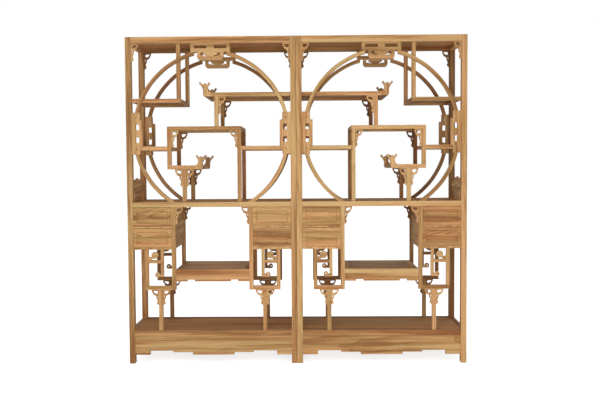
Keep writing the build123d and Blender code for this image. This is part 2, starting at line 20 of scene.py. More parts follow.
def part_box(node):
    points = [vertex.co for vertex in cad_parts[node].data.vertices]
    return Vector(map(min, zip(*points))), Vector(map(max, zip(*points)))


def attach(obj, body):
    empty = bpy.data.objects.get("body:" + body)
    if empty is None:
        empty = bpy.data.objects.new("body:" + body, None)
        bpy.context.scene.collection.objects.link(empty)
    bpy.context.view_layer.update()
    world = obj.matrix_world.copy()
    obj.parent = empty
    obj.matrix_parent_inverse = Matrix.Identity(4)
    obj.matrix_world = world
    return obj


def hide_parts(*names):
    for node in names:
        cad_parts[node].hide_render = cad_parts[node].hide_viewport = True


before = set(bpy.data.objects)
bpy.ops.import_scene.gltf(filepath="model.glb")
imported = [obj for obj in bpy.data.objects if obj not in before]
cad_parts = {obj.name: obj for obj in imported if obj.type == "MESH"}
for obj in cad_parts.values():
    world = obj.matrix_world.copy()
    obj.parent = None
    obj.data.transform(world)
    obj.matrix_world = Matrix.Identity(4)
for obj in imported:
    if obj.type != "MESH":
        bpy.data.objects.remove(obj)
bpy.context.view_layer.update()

log = logging.getLogger("cabinets")
MM = 0.001
STILL_BODY = "cabinets"
SMOOTH_UNDER = math.radians(35)
ORIGIN = Vector((0, 0, 0))
Pair = tuple[float, float]
Triple = tuple[float, float, float]
Colour = Triple
Oval = tuple[float, float, float, float]  # place of the middle, and the two half widths
Piece = bpy.types.Object
Socket = bpy.types.NodeSocket


# ---- Finishes ----
class Slot(Enum):
    """Material slots of the part that a piece can take its finish from."""

    FRAME = "frame_elm"
    PANEL = "panel_elm"
    DRAWER = "drawer_elm"


class Graph:
    """The nodes of one material or world, added one call at a time."""

    def __init__(self, owner: bpy.types.Material | bpy.types.World) -> None:
        """Start from an empty node tree.

        Args:
            owner: the material or world whose nodes are built.
        """
        owner.use_nodes = True
        self.tree = owner.node_tree
        self.tree.nodes.clear()

    def add(self, kind: str, inputs: dict | None = None, **settings: object) -> bpy.types.Node:
        """Add a node.

        Args:
            kind: the node's type, without the word ShaderNode.
            inputs: value or output socket for each input, by name or number.
            settings: properties of the node.

        Returns:
            The new node.
        """
        node = self.tree.nodes.new(f"ShaderNode{kind}")
        for name, value in settings.items():
            setattr(node, name, value)
        for name, value in (inputs or {}).items():
            if isinstance(value, Socket):
                self.tree.links.new(value, node.inputs[name])
            else:
                node.inputs[name].default_value = value
        return node

    def math(self, operation: str, *values: object) -> Socket:
        """Result of a Math node on the given values or sockets."""
        return self.add("Math", dict(enumerate(values)), operation=operation).outputs[0]

    def vector(self, operation: str, *values: object) -> Socket:
        """Result of a Vector Math node on the given values or sockets."""
        return self.add("VectorMath", dict(enumerate(values)), operation=operation).outputs[0]

    def fit(self, value: Socket, low: float, high: float, to: Pair = (0.0, 1.0)) -> Socket:
        """A value moved from one range into another, and held within it."""
        ends = {"From Min": low, "From Max": high, "To Min": to[0], "To Max": to[1]}
        return self.add("MapRange", {"Value": value, **ends}).outputs["Result"]

    def noise(self, place: Socket, scale: Triple, detail: float) -> bpy.types.Node:
        """Noise on a place that is stretched by a scale along each axis."""
        stretched = self.vector("MULTIPLY", place, scale)
        return self.add("TexNoise", {"Vector": stretched, "Scale": 1.0, "Detail": detail})

    def ramp(self, factor: Socket, *stops: tuple[float, Colour]) -> Socket:
        """Colour of a ramp with the given (position, colour) stops."""
        node = self.add("ValToRGB", {"Fac": factor})
        elements = node.color_ramp.elements
        while len(elements) < len(stops):
            elements.new(0.5)
        for element, (position, colour) in zip(elements, stops):
            element.position = position
            element.color = (*colour, 1.0)
        return node.outputs["Color"]

    def mix(self, factor: object, first: object, second: object, blend: str = "MIX") -> Socket:
        """Two colours mixed."""
        inputs = {0: factor, 6: first, 7: second}
        return self.add("Mix", inputs, data_type="RGBA", blend_type=blend).outputs[2]


@dataclass(frozen=True)
class ElmFinish:
    """Oiled elm: pale sapwood streaked with honey and red-brown heartwood, with open pores.

    It reads two attributes that every piece of timber carries. "grain" holds the place within the
    member, along the grain first. "tone" holds how red and how dark the member is, where painted
    shade darkens the members at the back, and whether the face is an edge with wear (1) or the
    floor of a groove, painted in shade (-1).
    """

    slot: Slot
    pale: Colour
    honey: Colour
    heart: Colour
    umber: Colour = (0.075, 0.03, 0.012)  # painted shade of the members at the back, and the colour of the darkest members
    cool: Colour = (0.96, 1.0, 0.90)
    warm: Colour = (1.06, 0.92, 0.84)
    stops: Triple = (0.27, 0.43, 0.59)  # where heart, honey and pale lie in the figure
    wander: Triple = (1.9, 9.0, 9.0)  # repeats of each pattern in a metre, along the grain first
    streaks: Triple = (1.1, 38.0, 38.0)
    tints: Triple = (0.8, 23.0, 23.0)
    fibres: Triple = (6.0, 310.0, 310.0)
    pores: Triple = (46.0, 1300.0, 1300.0)
    sway: Triple = (0.0, 0.03, 0.03)
    ring_spacing: float = 0.011
    ring_strength: float = 0.12
    ring_tilt: float = 0.045
    fibre_share: float = 0.35  # how much the fine fibres add to the figure
    darkening: float = 0.09  # for each step of a member's darkness, painted shade at the back included
    reddening: float = 0.22
    reds: Pair = (0.38, 0.64)  # tints between the cool and the warm end
    open_pores: Pair = (0.6, 0.72)
    pore_share: float = 0.4
    umber_darkness: Pair = (1.2, 4.2)  # darkness at which umber sets in, and is full: painted shade on the back members, and the darkest wood
    umber_share: float = 0.75
    # share of the pale wear on eased edges, and of the painted shade on groove floors
    wear_and_shade_share: float = 0.3
    roughness: Pair = (0.45, 0.62)
    sheen: float = 0.14
    pore_depth: float = 0.0004

    def material(self) -> bpy.types.Material:
        """Build the material."""
        material = bpy.data.materials.new(self.slot.value + "_grain")
        graph = Graph(material)
        grain = graph.add("Attribute", attribute_name="grain").outputs["Vector"]
        tone = graph.add("Attribute", attribute_name="tone").outputs["Vector"]
        red, dark, wear_and_groove_shade = graph.add("SeparateXYZ", {0: tone}).outputs[:3]

        wander = graph.noise(grain, self.wander, 2.0).outputs["Color"]
        sway = graph.vector("MULTIPLY", graph.vector("SUBTRACT", wander, (0.5,) * 3), self.sway)
        bent = graph.vector("ADD", grain, sway)

        streak = graph.noise(bent, self.streaks, 4.0).outputs["Fac"]
        tint = graph.noise(bent, self.tints, 2.0).outputs["Fac"]
        fine = graph.noise(bent, self.fibres, 3.0).outputs["Fac"]
        pores = graph.noise(grain, self.pores, 1.0).outputs["Fac"]
        pore = graph.fit(pores, *self.open_pores)
        late = graph.math("POWER", self.rings(graph, bent), 3.0)

        figure = graph.math("MULTIPLY", graph.math("SUBTRACT", fine, 0.5), self.fibre_share)
        figure = graph.math("ADD", streak, figure)
        figure = graph.math("SUBTRACT", figure, graph.math("MULTIPLY", late, self.ring_strength))
        figure = graph.math("SUBTRACT", figure, graph.math("MULTIPLY", dark, self.darkening))
        colour = graph.ramp(figure, *zip(self.stops, (self.heart, self.honey, self.pale)))
        reddish = graph.math("MULTIPLY", graph.math("SUBTRACT", red, 0.5), self.reddening)
        reddish = graph.fit(graph.math("ADD", tint, reddish), *self.reds)
        warmth = graph.mix(reddish, (*self.cool, 1.0), (*self.warm, 1.0))
        colour = graph.mix(1.0, colour, warmth, "MULTIPLY")
        # painted shade: the floors of grooves get heart colour, and the members at the back get
        # umber
        painted_groove_shade = graph.math("MAXIMUM", graph.math("MULTIPLY", wear_and_groove_shade, -1.0), 0.0)
        for amount, share, shade in (
            (pore, self.pore_share, self.heart),
            (graph.math("MAXIMUM", wear_and_groove_shade, 0.0), self.wear_and_shade_share, self.pale),
            (painted_groove_shade, self.wear_and_shade_share, self.heart),
            (graph.fit(dark, *self.umber_darkness), self.umber_share, self.umber),
        ):
            colour = graph.mix(graph.math("MULTIPLY", amount, share), colour, (*shade, 1.0))

        height = graph.math("SUBTRACT", graph.math("MULTIPLY", fine, 0.5), pore)
        bump = graph.add("Bump", {"Height": height, "Strength": 0.5, "Distance": self.pore_depth})
        shader = graph.add(
            "BsdfPrincipled",
            {
                "Base Color": colour,
                "Roughness": graph.fit(fine, 0.0, 1.0, self.roughness),
                "Normal": bump.outputs["Normal"],
                "Specular IOR Level": self.sheen,
            },
        )
        graph.add("OutputMaterial", {"Surface": shader.outputs["BSDF"]})
        return material

    def rings(self, graph: Graph, place: Socket) -> Socket:
        """Yearly rings round the middle of the log, which lies at a small angle to the member."""
        turn = (0.0, self.ring_tilt, self.ring_tilt / 2)
        tilted = graph.add("Mapping", {"Vector": place, "Rotation": turn}).outputs[0]
        scale = 2 * math.pi / (20 * self.ring_spacing)
        bends = {"Distortion": 1.6, "Detail": 2.0, "Detail Scale": 0.35}
        return graph.add(
            "TexWave",
            {"Vector": tilted, "Scale": scale, **bends},
            wave_type="RINGS",
            rings_direction="X",
            wave_profile="SAW",
        ).outputs["Fac"]


FINISHES = (
    ElmFinish(Slot.FRAME, (0.55, 0.345, 0.165), (0.42, 0.232, 0.095), (0.26, 0.115, 0.042)),
    ElmFinish(
        Slot.PANEL,
        (0.46, 0.25, 0.105),
        (0.36, 0.178, 0.066),
        (0.22, 0.094, 0.032),
        roughness=(0.65, 0.8),
    ),
    ElmFinish(
        Slot.DRAWER,
        (0.53, 0.315, 0.14),
        (0.42, 0.225, 0.09),
        (0.24, 0.105, 0.038),
        ring_spacing=0.007,
        ring_strength=0.24,
        ring_tilt=0.11,
    ),
)


# ---- Bench: the few moves that every piece is made with ----
class Bench:
    """Moves on one piece at a time, each of which leaves object mode and a clean selection."""

    @staticmethod
    def take(piece: Piece) -> None:
        """Make a piece the active one and the only one selected."""
        bpy.ops.object.select_all(action="DESELECT")
        piece.select_set(True)
        bpy.context.view_layer.objects.active = piece

    @classmethod
    def edit(cls, piece: Piece, *moves: Callable[[], object]) -> None:
        """Run moves in edit mode on the whole mesh.

        Args:
            piece: the mesh object.
            moves: calls of mesh operators, in order.
        """
        cls.take(piece)
        bpy.ops.object.mode_set(mode="EDIT")
        bpy.ops.mesh.select_all(action="SELECT")
        for move in moves:
            move()
        bpy.ops.object.mode_set(mode="OBJECT")

    @classmethod
    def settle(cls, piece: Piece) -> Piece:
        """Move the place, turn and scale of a piece into its mesh."""
        cls.take(piece)
        bpy.ops.object.transform_apply(location=True, rotation=True, scale=True)
        return piece

    @classmethod
    def join(cls, name: str, pieces: Sequence[Piece]) -> Piece:
        """Join pieces into one object.

        Args:
            name: the name of the result.
            pieces: the objects to join.

        Returns:
            The joined object.
        """
        cls.take(pieces[0])
        for piece in pieces:
            piece.select_set(True)
        if len(pieces) > 1:
            bpy.ops.object.join()
        pieces[0].name = name
        pieces[0].data.name = name
        return pieces[0]

    @staticmethod
    def mirrored(piece: Piece, axis: int, at: float, name: str = "") -> Piece:
        """Mirror image of a piece, with its own mesh and its faces still pointing outwards.

        Args:
            piece: the object, whose place is in its mesh.
            axis: 0 for left and right, 1 for front and back.
            at: place of the mirror plane along that axis.
            name: the name of the copy.

        Returns:
            The new object.
        """
        twin = bpy.data.objects.new(name or piece.name + "_twin", piece.data.copy())
        bpy.context.scene.collection.objects.link(twin)
        flip = Matrix.Identity(4)
        flip[axis][axis] = -1
        flip[axis][3] = 2 * at
        twin.data.transform(flip)
        twin.data.flip_normals()
        return twin

    @staticmethod
    def copied(piece: Piece, place: Vector, way: int = 1) -> Piece:
        """Copy of a piece made at the origin, moved to its place.

        Args:
            piece: the pattern.
            place: where its origin goes.
            way: -1 to turn it left for right first.

        Returns:
            The new object.
        """
        twin = bpy.data.objects.new(piece.name, piece.data.copy())
        bpy.context.scene.collection.objects.link(twin)
        twin.data.transform(Matrix.Translation(place) @ Matrix.Diagonal((way, 1, 1, 1)))
        if way < 0:
            twin.data.flip_normals()
        return twin

    @classmethod
    def smooth(cls, piece: Piece) -> Piece:
        """Shade gentle turns smooth and keep flat faces flat."""
        cls.take(piece)
        bpy.ops.object.shade_smooth_by_angle(angle=SMOOTH_UNDER)
        weigh = piece.modifiers.new("flat_faces", "WEIGHTED_NORMAL")
        weigh.keep_sharp = True
        bpy.ops.object.modifier_apply(modifier=weigh.name)
        return piece


bench = Bench()


# ---- Timber: grain and tone of every member, and the CAD pieces with eased edges ----
def extent(corners: Sequence[Vector]) -> tuple[Vector, Vector]:
    """Lowest and highest corner of the box round some points."""
    low = Vector([min(c[i] for c in corners) for i in range(3)])
    high = Vector([max(c[i] for c in corners) for i in range(3)])
    return low, high


@dataclass(frozen=True)
class Cut:
    """What sets the wood of one piece apart from the rest, and the painted light and shade of its
    members.
    """

    spread: float = 0.35  # how far from the heart of the log its members are cut
    red: float = 0.0
    dark: float = 0.0
    back: float = 1.4  # painted shade: how much darker its members at the back are painted
    shaded_grooves: bool = False  # the narrow floors of its grooves are painted in shade


@dataclass(frozen=True)
class Timber:
    """How boards lie in the wood: which way their grain runs, how much members differ, and which
    get painted shade.
    """

    frame_span: float = 0.08  # a flat member wider than this both ways is a mitred frame
    frame_thick: Pair = (0.02, 0.03)
    worn_width: float = 0.0011  # faces narrower than this are eased edges
    groove_width: Pair = (0.005, 0.009)
    painted_shade_from: float = 0.1  # members behind this place get painted shade, a darker tone

    def draw(
        self,
        piece: Piece,
        seed: int,
        cut: Cut,
        along: int | None = None,
        flow: Callable[[Vector], Vector] | None = None,
    ) -> None:
        """Write the grain and tone attributes, with a fresh cut of the log for each member.

        Args:
            piece: the object, whose separate shells are its members.
            seed: where the draws of this piece start.
            cut: what sets its wood apart, and its painted light and shade.
            along: axis that the grain follows, or None for the longest of each member.
            flow: place in the log of a place in the piece, for grain that isn't straight.
        """
        mesh = piece.data
        draws = random.Random(seed)
        places = [0.0] * (3 * len(mesh.loops))
        tones = [0.0] * (3 * len(mesh.loops))
        for member in self.members(mesh):
            low, high = extent([mesh.vertices[v].co for face in member for v in face.vertices])
            span = high - low
            is_frame = (
                min(span.x, span.y) > self.frame_span
                and self.frame_thick[0] < span.z < self.frame_thick[1]
            )
            longest = max(range(3), key=lambda i: span[i]) if along is None else along
            centre = (low + high) / 2
            shift = Vector([draws.uniform(-cut.spread, cut.spread) for _ in range(3)])
            redness, darkness = draws.random() + cut.red, draws.uniform(-1, 1) + cut.dark
            # painted shade on the members at the back
            if low.y > self.painted_shade_from:
                darkness += cut.back
            for face in member:
                axis = longest
                if is_frame:
                    to_end = min(face.center.x - low.x, high.x - face.center.x)
                    to_side = min(face.center.y - low.y, high.y - face.center.y)
                    axis = 1 if to_end < to_side else 0
                order = (axis, (axis + 1) % 3, (axis + 2) % 3)
                width = 2 * face.area / max(self.rim(mesh, face), 1e-9)
                wear_and_groove_shade = 1.0 if width < self.worn_width else 0.0
                # painted shade on the floors of grooves
                if cut.shaded_grooves and self.groove_width[0] < width < self.groove_width[1]:
                    wear_and_groove_shade = -1.0
                for loop in face.loop_indices:
                    place = mesh.vertices[mesh.loops[loop].vertex_index].co
                    turned = [place[i] - centre[i] + shift[i] for i in order]
                    places[3 * loop : 3 * loop + 3] = flow(place) + shift if flow else turned
                    tones[3 * loop : 3 * loop + 3] = [redness, darkness, wear_and_groove_shade]
        for name, values in (("grain", places), ("tone", tones)):
            mesh.attributes.new(name, "FLOAT_VECTOR", "CORNER")
            mesh.attributes[name].data.foreach_set("vector", values)

    @staticmethod
    def rim(mesh: bpy.types.Mesh, face: bpy.types.MeshPolygon) -> float:
        """Length of the rim of a face."""
        ring = [mesh.vertices[v].co for v in face.vertices]
        return sum((b - a).length for a, b in zip(ring, ring[1:] + ring[:1]))

    @staticmethod
    def members(mesh: bpy.types.Mesh) -> list[list[bpy.types.MeshPolygon]]:
        """Faces of each separate shell of a merged mesh."""
        parent = list(range(len(mesh.vertices)))

        def root(vertex: int) -> int:
            """First vertex of the shell that a vertex belongs to."""
            while parent[vertex] != vertex:
                parent[vertex] = parent[parent[vertex]]
                vertex = parent[vertex]
            return vertex

        for edge in mesh.edges:
            parent[root(edge.vertices[0])] = root(edge.vertices[1])
        shells: dict[int, list[bpy.types.MeshPolygon]] = {}
        for face in mesh.polygons:
            shells.setdefault(root(face.vertices[0]), []).append(face)
        return list(shells.values())


timber = Timber()


class CadCopy:
    """A CAD node's own shape, merged solid by solid so that its edges can be eased."""

    eased = 0.0012
    shortest = 0.012  # edges shorter than this are joinery and stay sharp
    sharpest = math.radians(40)  # edges that turn less stay as they are
    flat = math.radians(1)
    merged = 1e-5
    grid = 1e-6

    def __init__(self, node: str) -> None:
        """Read a node.

        Args:
            node: name of the CAD node.
        """
        self.node = node
        self.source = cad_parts[node].data

    def solids(self) -> list[list[int]]:
        """Faces of each closed solid of the node; a solid's faces follow each other in the mesh."""
        solids: list[list[int]] = [[]]
        waiting: Counter = Counter()
        for face in self.source.polygons:
            places = [self.source.vertices[v].co for v in face.vertices]
            ring = [tuple(round(c / self.grid) for c in place) for place in places]
            for edge in zip(ring, ring[1:] + ring[:1]):
                if waiting[edge[::-1]]:
                    waiting[edge[::-1]] -= 1
                    if not waiting[edge[::-1]]:
                        del waiting[edge[::-1]]
                else:
                    waiting[edge] += 1
            solids[-1].append(face.index)
            if not +waiting:
                solids.append([])
                waiting.clear()
        return [solid for solid in solids if solid]

    def corners(self, solid: Sequence[int]) -> list[Vector]:
        """Places of the corners of a solid's faces."""
        return [self.source.vertices[v].co for f in solid for v in self.source.polygons[f].vertices]

    def boxes(self) -> list[tuple[Vector, Vector]]:
        """Lowest and highest corner of each solid."""
        return [extent(self.corners(solid)) for solid in self.solids()]

    def pieces(self, wanted: Callable[[Vector, Vector], bool] | None = None) -> list[Piece]:
        """One merged object for each solid.

        Args:
            wanted: says from a solid's lowest and highest corner whether it is taken.

        Returns:
            The new objects.
        """
        taken = []
        for solid, (low, high) in zip(self.solids(), self.boxes()):
            if wanted and not wanted(low, high):
                continue
            rings = [list(self.source.polygons[f].vertices) for f in solid]
            used = sorted({v for ring in rings for v in ring})
            number = {v: i for i, v in enumerate(used)}
            mesh = bpy.data.meshes.new(self.node)
            places = [self.source.vertices[v].co for v in used]
            mesh.from_pydata(places, [], [[number[v] for v in ring] for ring in rings])
            piece = bpy.data.objects.new(self.node, mesh)
            bpy.context.scene.collection.objects.link(piece)
            taken.append(piece)
        return taken

    def dressed(self, wanted: Callable[[Vector, Vector], bool] | None = None) -> list[Piece]:
        """The wanted solids, merged and eased."""
        return [self.dress(piece) for piece in self.pieces(wanted)]

    def dress(self, piece: Piece) -> Piece:
        """Merge a solid, split its frame at the mitres and ease its long edges."""
        bench.edit(
            piece,
            lambda: bpy.ops.mesh.remove_doubles(threshold=self.merged),
            lambda: bpy.ops.mesh.dissolve_limited(angle_limit=self.flat),
        )
        self.cut_mitres(piece)
        self.ease(piece)
        return bench.smooth(piece)

    @staticmethod
    def cut_mitres(piece: Piece) -> None:
        """Cut the four mitre lines into a flat frame."""
        corners = [Vector(c) for c in piece.bound_box]
        low, high = corners[0], corners[6]
        span = high - low
        if min(span.x, span.y) < timber.frame_span:
            return
        if not timber.frame_thick[0] < span.z < timber.frame_thick[1]:
            return
        for x, y in ((low.x, low.y), (high.x, low.y), (low.x, high.y), (high.x, high.y)):
            slope = (1, -1, 0) if (x == low.x) == (y == low.y) else (1, 1, 0)
            bench.edit(piece, lambda: bpy.ops.mesh.bisect(plane_co=(x, y, low.z), plane_no=slope))

    def ease(self, piece: Piece) -> None:
        """Round the outward edges that are long enough to be touched."""
        bench.edit(piece, lambda: bpy.ops.mesh.select_all(action="DESELECT"))
        mesh = piece.data
        normals: dict[tuple[int, int], list[bpy.types.MeshPolygon]] = {}
        for face in mesh.polygons:
            for key in face.edge_keys:
                normals.setdefault(key, []).append(face)
        for edge in mesh.edges:
            sides = normals.get(tuple(sorted(edge.vertices)), [])
            ends = [mesh.vertices[v].co for v in edge.vertices]
            if len(sides) != 2 or (ends[1] - ends[0]).length < self.shortest:
                continue
            turn = sides[0].normal.angle(sides[1].normal, 0.0)
            outward = (sides[1].center - sides[0].center).dot(sides[0].normal) < 0
            edge.select = turn > self.sharpest and outward
        bench.take(piece)
        bpy.ops.object.mode_set(mode="EDIT")
        bpy.ops.mesh.select_mode(type="EDGE")
        bpy.ops.mesh.bevel(
            offset=self.eased, segments=2, profile=0.6, affect="EDGES", clamp_overlap=False
        )
        bpy.ops.object.mode_set(mode="OBJECT")


# ---- Sawn work: flat pieces from outlines ----
@dataclass(frozen=True)
class Turn:
    """One point of an outline, in millimetres; round unless it is a corner."""

    x: float
    y: float
    sharp: bool = False


def corner(x: float, y: float) -> Turn:
    """Sharp point of an outline."""
    return Turn(x, y, True)


def bend(x: float, y: float) -> Turn:
    """Point that an outline rounds."""
    return Turn(x, y)


def mirror_turns(outline: Sequence[Turn]) -> list[Turn]:
    """Mirror image of an outline to the left, run through backwards."""
    return [Turn(-turn.x, turn.y, turn.sharp) for turn in reversed(outline)]


def oval(x: float, y: float, across: float, up: float) -> list[Turn]:
    """Oval outline around a middle, with its two half widths."""
    return [bend(x + across, y), bend(x, y + up), bend(x - across, y), bend(x, y - up)]


class Facing(Enum):
    """How a flat outline stands: what its right and its up become."""

    FRONT = (Vector((1, 0, 0)), Vector((0, 0, 1)))
    SIDE = (Vector((0, 1, 0)), Vector((0, 0, 1)))


@dataclass(frozen=True)
class Saw:
    """Cuts flat pieces out of a board and rounds their edges."""

    edge: float = 0.0012
    curve_steps: int = 6
    edge_steps: int = 1

    def cut(
        self,
        name: str,
        outlines: Iterable[Sequence[Turn]],
        origin: Vector,
        facing: Facing,
        thickness: float,
    ) -> Piece:
        """Cut one piece.

        Args:
            name: the name of the piece.
            outlines: its outer outline and the outlines of its holes.
            origin: where the outlines' zero stands, in the middle of the thickness.
            facing: how the outline stands.
            thickness: of the board.

        Returns:
            The piece as a closed mesh, with its place in the mesh.
        """
        bpy.ops.object.select_all(action="DESELECT")
        bpy.ops.curve.primitive_bezier_curve_add(enter_editmode=True, location=(0, 0, 0))
        bpy.ops.curve.select_all(action="SELECT")
        bpy.ops.curve.delete(type="VERT")
        board = bpy.context.object
        for outline in outlines:
            self.trace(board, outline)
        bpy.ops.object.mode_set(mode="OBJECT")
        board.data.dimensions = "2D"
        board.data.fill_mode = "BOTH"
        board.data.resolution_u = self.curve_steps
        board.data.bevel_depth = self.edge
        board.data.bevel_resolution = self.edge_steps
        board.data.offset = -self.edge
        board.data.extrude = thickness / 2 - self.edge
        bpy.ops.object.convert(target="MESH")
        piece = bpy.context.object
        piece.name = name
        right, up = facing.value
        stand = Matrix((right, up, right.cross(up))).transposed().to_4x4()
        piece.matrix_world = Matrix.Translation(origin) @ stand
        bench.settle(piece)
        bench.edit(
            piece,
            lambda: bpy.ops.mesh.remove_doubles(threshold=2e-5),
            lambda: bpy.ops.mesh.normals_make_consistent(inside=False),
        )
        return bench.smooth(piece)

    @staticmethod
    def trace(board: Piece, outline: Sequence[Turn]) -> None:
        """Draw one closed outline on the curve that is being edited."""
        for turn in outline:
            bpy.ops.curve.vertex_add(location=(turn.x * MM, turn.y * MM, 0))
        for wants_sharp, kind in ((False, "AUTOMATIC"), (True, "VECTOR")):
            bpy.ops.curve.select_all(action="DESELECT")
            for point, turn in zip(board.data.splines[-1].bezier_points, outline):
                chosen = turn.sharp == wants_sharp
                point.select_control_point = chosen
                point.select_left_handle = chosen
                point.select_right_handle = chosen
            if any(turn.sharp == wants_sharp for turn in outline):
                bpy.ops.curve.handle_type_set(type=kind)
        for point in board.data.splines[-1].bezier_points:
            point.select_control_point = True
        bpy.ops.curve.cyclic_toggle()
        bpy.ops.curve.select_all(action="DESELECT")


saw = Saw()


# ---- Places of the left cabinet, read off the frame ----
class Plan:
    """Places that several classes share."""

    def __init__(self) -> None:
        """Read the places off the CAD nodes."""
        posts_low, posts_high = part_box("left_corner_posts")
        self.middle_x = (posts_low.x + posts_high.x) / 2
        self.rail_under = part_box("left_top_frame")[0].z
        self.middle_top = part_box("left_middle_shelf_frame")[1].z

    def both_units(
        self,
        name: str,
        piece: Piece,
        slot: Slot = Slot.FRAME,
        body: str = STILL_BODY,
        cut: Cut = Cut(),
        along: int | None = None,
        flow: Callable[[Vector], Vector] | None = None,
    ) -> None:
        """Finish a piece of the left cabinet and its mirror image in the right one.

        Args:
            name: name of the CAD node that it stands for, without its side.
            piece: the left object, joined and in place.
            slot: the finish.
            body: name of the body without its side, or the still body.
            cut: what sets its wood apart, and its painted light and shade.
            along: axis of the grain, or None for the longest of each member.
            flow: place in the log of a place in the piece, for grain that isn't straight.
        """
        twin = bench.mirrored(piece, 0, 0.0)
        for side, half in (("left", piece), ("right", twin)):
            half.name = f"{side}_{name}_wood"
            timber.draw(half, sum(map(ord, half.name)), cut, along=along, flow=flow)
            half.data.materials.clear()
            half.data.materials.append(materials[slot])
            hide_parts(f"{side}_{name}")
            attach(half, body if body == STILL_BODY else f"{side}_{body}")
            log.info("%s: %d faces", half.name, len(half.data.polygons))


# ---- Carcass: posts, frames, panels, shelves and cases as the CAD has them ----
@dataclass
class Carcass:
    """The squared timber, each CAD solid with its long edges eased."""

    nodes: tuple[tuple[str, Slot, Cut], ...] = (
        ("corner_posts", Slot.FRAME, Cut(dark=0.4)),
        ("top_frame", Slot.FRAME, Cut()),
        ("middle_shelf_frame", Slot.FRAME, Cut(dark=-1.6, red=-0.4)),
        # painted shade: the bottom shelf frame is painted darker and redder for the weaker light
        # near the floor
        ("bottom_shelf_frame", Slot.FRAME, Cut(dark=1.7, red=0.5)),
        ("bottom_aprons", Slot.FRAME, Cut(dark=0.4, red=0.2)),
        ("hanging_shelf", Slot.FRAME, Cut(dark=0.5)),
        ("scroll_shelf", Slot.FRAME, Cut(dark=0.2)),
        ("table_shelf", Slot.FRAME, Cut(dark=0.2)),
        ("small_shelf", Slot.FRAME, Cut()),
        ("bridge_shelves", Slot.FRAME, Cut()),
        ("outer_drawer_case", Slot.FRAME, Cut()),
        ("inner_drawer_case", Slot.FRAME, Cut()),
        ("lower_shelf", Slot.FRAME, Cut(dark=0.4)),
        # painted light: these two panels are painted paler, for the light on the top panel's
        # underside and the reflection on the middle shelf's grazing top
        ("top_panel", Slot.PANEL, Cut(dark=-2.6)),
        ("middle_shelf_panel", Slot.PANEL, Cut(dark=-3.0)),
        ("bottom_shelf_panel", Slot.PANEL, Cut(red=0.4)),
    )

    def build(self) -> None:
        """Dress every node of the carcass."""
        for node, slot, cut in self.nodes:
            solids = CadCopy(f"left_{node}").dressed()
            plan.both_units(node, bench.join(node, solids), slot, cut=cut)


# ---- Moon rings ----
@dataclass
class MoonRings:
    """Moon rings of four sawn arcs, stopped at the fretworks and at the middle shelf."""

    shift: float = 0.032  # the centre of each half lies this far beyond the middle
    points: int = 24  # that the full circles are drawn with
    edge: float = 0.0022
    mean_radius: float = 0.5  # that turns an angle into a length along the grain

    def build(self) -> None:
        """Build the front ring and its twin at the back."""
        low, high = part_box("left_front_moon_ring")
        side_low, side_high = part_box("left_side_fretworks")
        self.centre = Vector((plan.middle_x, (low.y + high.y) / 2, (side_low.z + side_high.z) / 2))
        side_gap = (side_high.z - side_low.z) / 2
        outer, band, top_gap = self.measure(side_gap)
        circles = [self.circle(outer), self.circle(outer - band)]
        arcs = []
        for across in (-1, 1):
            origin = self.centre - Vector((across * self.shift, 0, 0))
            for up in (-1, 1):
                arc = Saw(edge=self.edge).cut("arc", circles, origin, Facing.FRONT, high.y - low.y)
                for place, side in (
                    (self.centre + Vector((across * top_gap, 0, 0)), Vector((across, 0, 0))),
                    (self.centre + Vector((0, 0, up * side_gap)), Vector((0, 0, up))),
                    (Vector((0, 0, plan.middle_top)), Vector((0, 0, 1))),
                ):
                    self.keep(arc, place, side)
                arcs.append(bench.smooth(arc))
        front = bench.join("front_moon_ring", arcs)
        back = bench.mirrored(front, 1, 0.0, "back_moon_ring")
        # the back ring gets painted shade
        cut = Cut(red=-0.4, back=2.0)
        for ring in (front, back):
            plan.both_units(ring.name, ring, cut=cut, flow=self.flow)

    def measure(self, side_gap: float) -> tuple[float, float, float]:
        """Outer radius, band and half width of the gap at the top, read off the CAD ring.

        Args:
            side_gap: half height of the gap at the sides.

        Returns:
            The three lengths in metres.
        """
        corners = [v.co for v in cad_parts["left_front_moon_ring"].data.vertices]
        offsets = [(abs(c.x - self.centre.x), c.z - self.centre.z) for c in corners]
        radii = [math.hypot(x + self.shift, z) for x, z in offsets]
        top_gap = min(x for x, z in offsets if z > side_gap)
        return max(radii), max(radii) - min(radii), top_gap

    def circle(self, radius: float) -> list[Turn]:
        """Outline of a full circle of a radius in metres."""
        turns = [2 * math.pi * i / self.points for i in range(self.points)]
        return [bend(math.cos(t) * radius / MM, math.sin(t) * radius / MM) for t in turns]

    @staticmethod
    def keep(arc: Piece, place: Vector, side: Vector) -> None:
        """Cut a ring by a plane, close the cut and keep what lies to one side."""
        plane = {"plane_co": place, "plane_no": side}
        bench.edit(arc, lambda: bpy.ops.mesh.bisect(**plane, use_fill=True, clear_inner=True))

    def flow(self, place: Vector) -> Vector:
        """Grain that follows the ring of either unit."""
        offset = abs(place.x) - abs(self.centre.x)
        offset += math.copysign(self.shift, offset)
        height = place.z - self.centre.z
        reach = math.hypot(offset, height)
        return Vector((math.atan2(height, offset) * self.mean_radius, reach, place.y))


